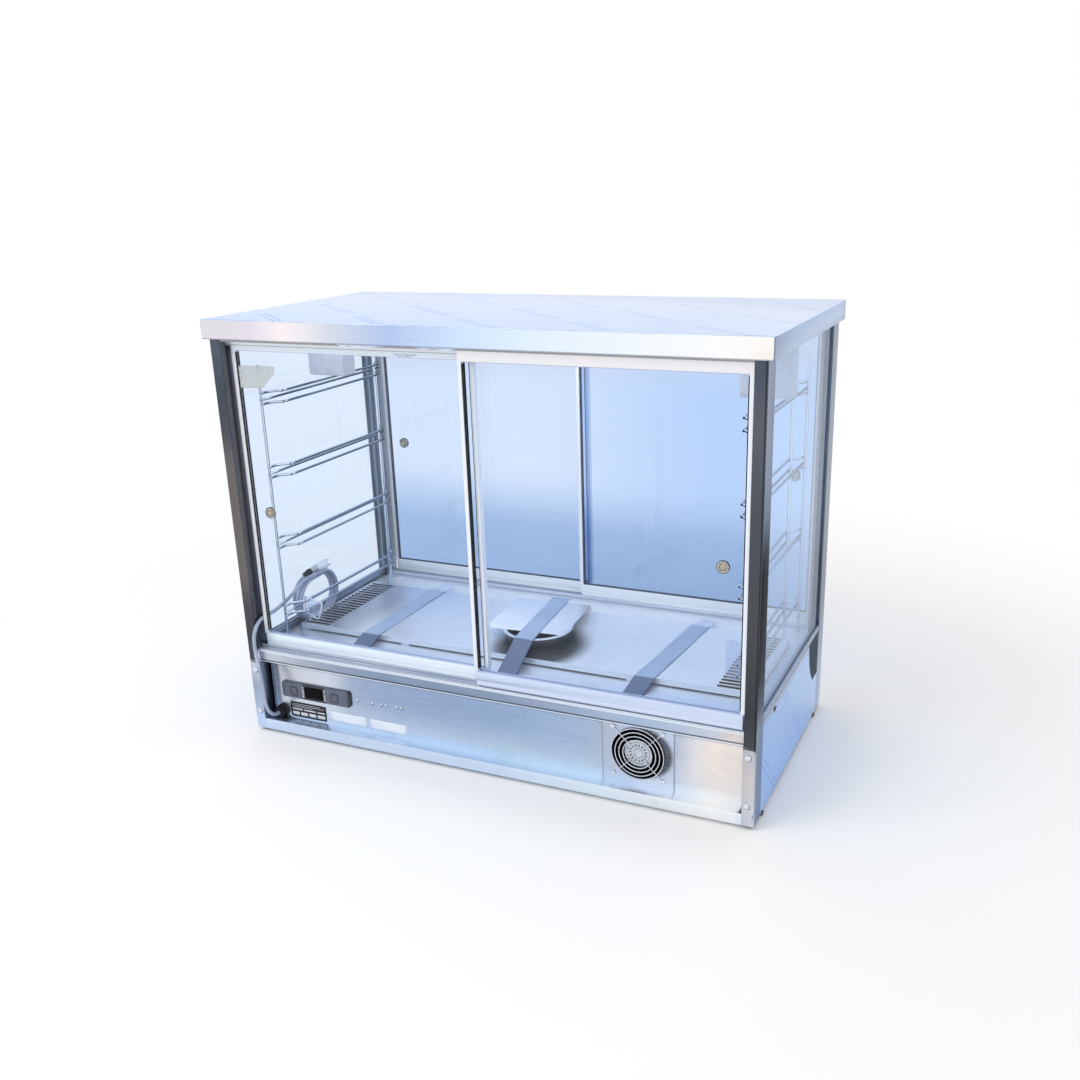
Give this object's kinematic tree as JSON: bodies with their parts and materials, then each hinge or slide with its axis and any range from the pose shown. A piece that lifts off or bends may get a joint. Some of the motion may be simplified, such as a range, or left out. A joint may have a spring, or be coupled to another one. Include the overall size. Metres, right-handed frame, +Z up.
{
  "type": "food holding cabinet",
  "caption": "Glazed countertop holding cabinet with sliding glass doors front and rear, wire tray racks, louvred air tray, water pan and a control panel with fan.",
  "frame": {"origin": "middle of the footprint, on the surface that the feet stand on", "axes": "+X to the right when facing the control panel, +Y to the rear, +Z up"},
  "size_m": [1.2, 0.6131, 0.938],
  "materials": {
    "stainless": "brushed",
    "stainless_dark": "brushed",
    "film_steel": "brushed steel under pale protective film",
    "bright_steel": "bright",
    "aluminium": "satin",
    "glass": "clear",
    "seal": "matt",
    "wire": "bright wire",
    "element": "dull",
    "terminal": "matt",
    "controller": "satin",
    "display": "gloss",
    "button": "satin",
    "fan": "matt",
    "gland": "gloss",
    "cord": "satin",
    "plug": "clear moulded",
    "foot": "matt",
    "foam": "matt foam",
    "strap": "felt"
  },
  "bodies": {
    "cabinet": {"top_slab": "film_steel", "ceiling_panel": "stainless", "post_front_left": "stainless_dark", "post_front_right": "stainless_dark", "post_rear_left": "stainless", "post_rear_right": "stainless", "side_panel_left": "film_steel", "side_panel_right": "film_steel", "front_panel": "stainless", "fan_plate": "stainless", "upper_ledge": "stainless", "plinth": "stainless", "base_floor": "stainless", "rear_panel": "stainless", "deck": "stainless", "feet": "foot", "bracket_plates": "stainless", "pan_screws": "bright_steel", "air_tray": "stainless", "water_pan": "bright_steel", "pan_cover": "stainless", "side_glass_left": "glass", "side_glass_right": "glass", "glass_channels": "aluminium", "top_tracks": "aluminium", "bottom_tracks": "aluminium", "rack_left": "wire", "rack_right": "wire", "heating_elements": "element", "terminal_block": "terminal", "controller": "controller", "controller_display": "display", "panel_rivets": "bright_steel", "fan_frame": "fan", "fan_guard": "bright_steel", "cord_gland": "gland", "cord": "cord", "cord_coil": "cord", "cord_plug": "plug", "packing_blocks": "foam", "packing_straps": "strap"},
    "front_left_door": {"front_left_frame": "aluminium", "front_left_glass": "glass", "front_left_seal": "seal", "front_left_pull": "bright_steel"},
    "front_right_door": {"front_right_frame": "aluminium", "front_right_glass": "glass", "front_right_seal": "seal", "front_right_pull": "bright_steel"},
    "rear_left_door": {"rear_left_frame": "aluminium", "rear_left_glass": "glass", "rear_left_seal": "seal", "rear_left_pull": "bright_steel"},
    "rear_right_door": {"rear_right_frame": "aluminium", "rear_right_glass": "glass", "rear_right_seal": "seal", "rear_right_pull": "bright_steel"},
    "button_left": {"button_left": "button"},
    "button_right": {"button_right": "button"},
    "fan_rotor": {"fan_rotor": "fan"}
  },
  "joints": [
    {"name": "front_left_slide", "type": "slide", "parent": "cabinet", "child": "front_left_door", "axis": [1, 0, 0], "range_m": [0, 0.545]},
    {"name": "front_right_slide", "type": "slide", "parent": "cabinet", "child": "front_right_door", "axis": [-1, 0, 0], "range_m": [0, 0.545]},
    {"name": "rear_left_slide", "type": "slide", "parent": "cabinet", "child": "rear_left_door", "axis": [1, 0, 0], "range_m": [0, 0.545]},
    {"name": "rear_right_slide", "type": "slide", "parent": "cabinet", "child": "rear_right_door", "axis": [-1, 0, 0], "range_m": [0, 0.545]},
    {"name": "button_left_press", "type": "slide", "parent": "cabinet", "child": "button_left", "axis": [0, 1, 0], "range_m": [0, 0.0012], "stiffness_N_per_m": 600},
    {"name": "button_right_press", "type": "slide", "parent": "cabinet", "child": "button_right", "axis": [0, 1, 0], "range_m": [0, 0.0012], "stiffness_N_per_m": 600},
    {"name": "fan_spin", "type": "hinge", "parent": "cabinet", "child": "fan_rotor", "pos_m": [0.3415, -0.236, 0.1045], "axis": [0, -1, 0], "continuous": true}
  ]
}
